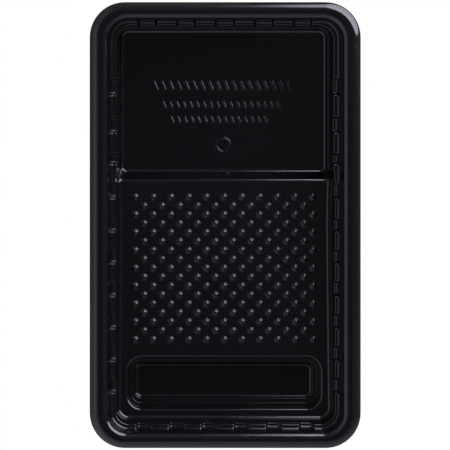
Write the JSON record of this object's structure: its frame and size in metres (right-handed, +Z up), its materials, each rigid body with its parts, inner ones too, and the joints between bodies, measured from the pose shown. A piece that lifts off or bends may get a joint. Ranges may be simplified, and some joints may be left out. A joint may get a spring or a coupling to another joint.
{
  "type": "paint roller tray",
  "caption": "One-piece formed plastic tray for a mini paint roller: deep flat well, short riser, gently climbing bumped ramp, recessed foot pocket, stepped stacking shelf and turned-down rim.",
  "frame": {"origin": "bottom centre of the tray's bounding box, on the plane the tray stands on", "axes": "+Z up, +Y along the length towards the deep paint well, +X across the width"},
  "size_m": [0.152, 0.25, 0.031],
  "materials": {
    "sheet": "gloss black vacuum-formed sheet, faint orange peel and fine handling scuffs"
  },
  "bodies": {
    "root": {"tray_shell": "sheet"}
  },
  "joints": []
}
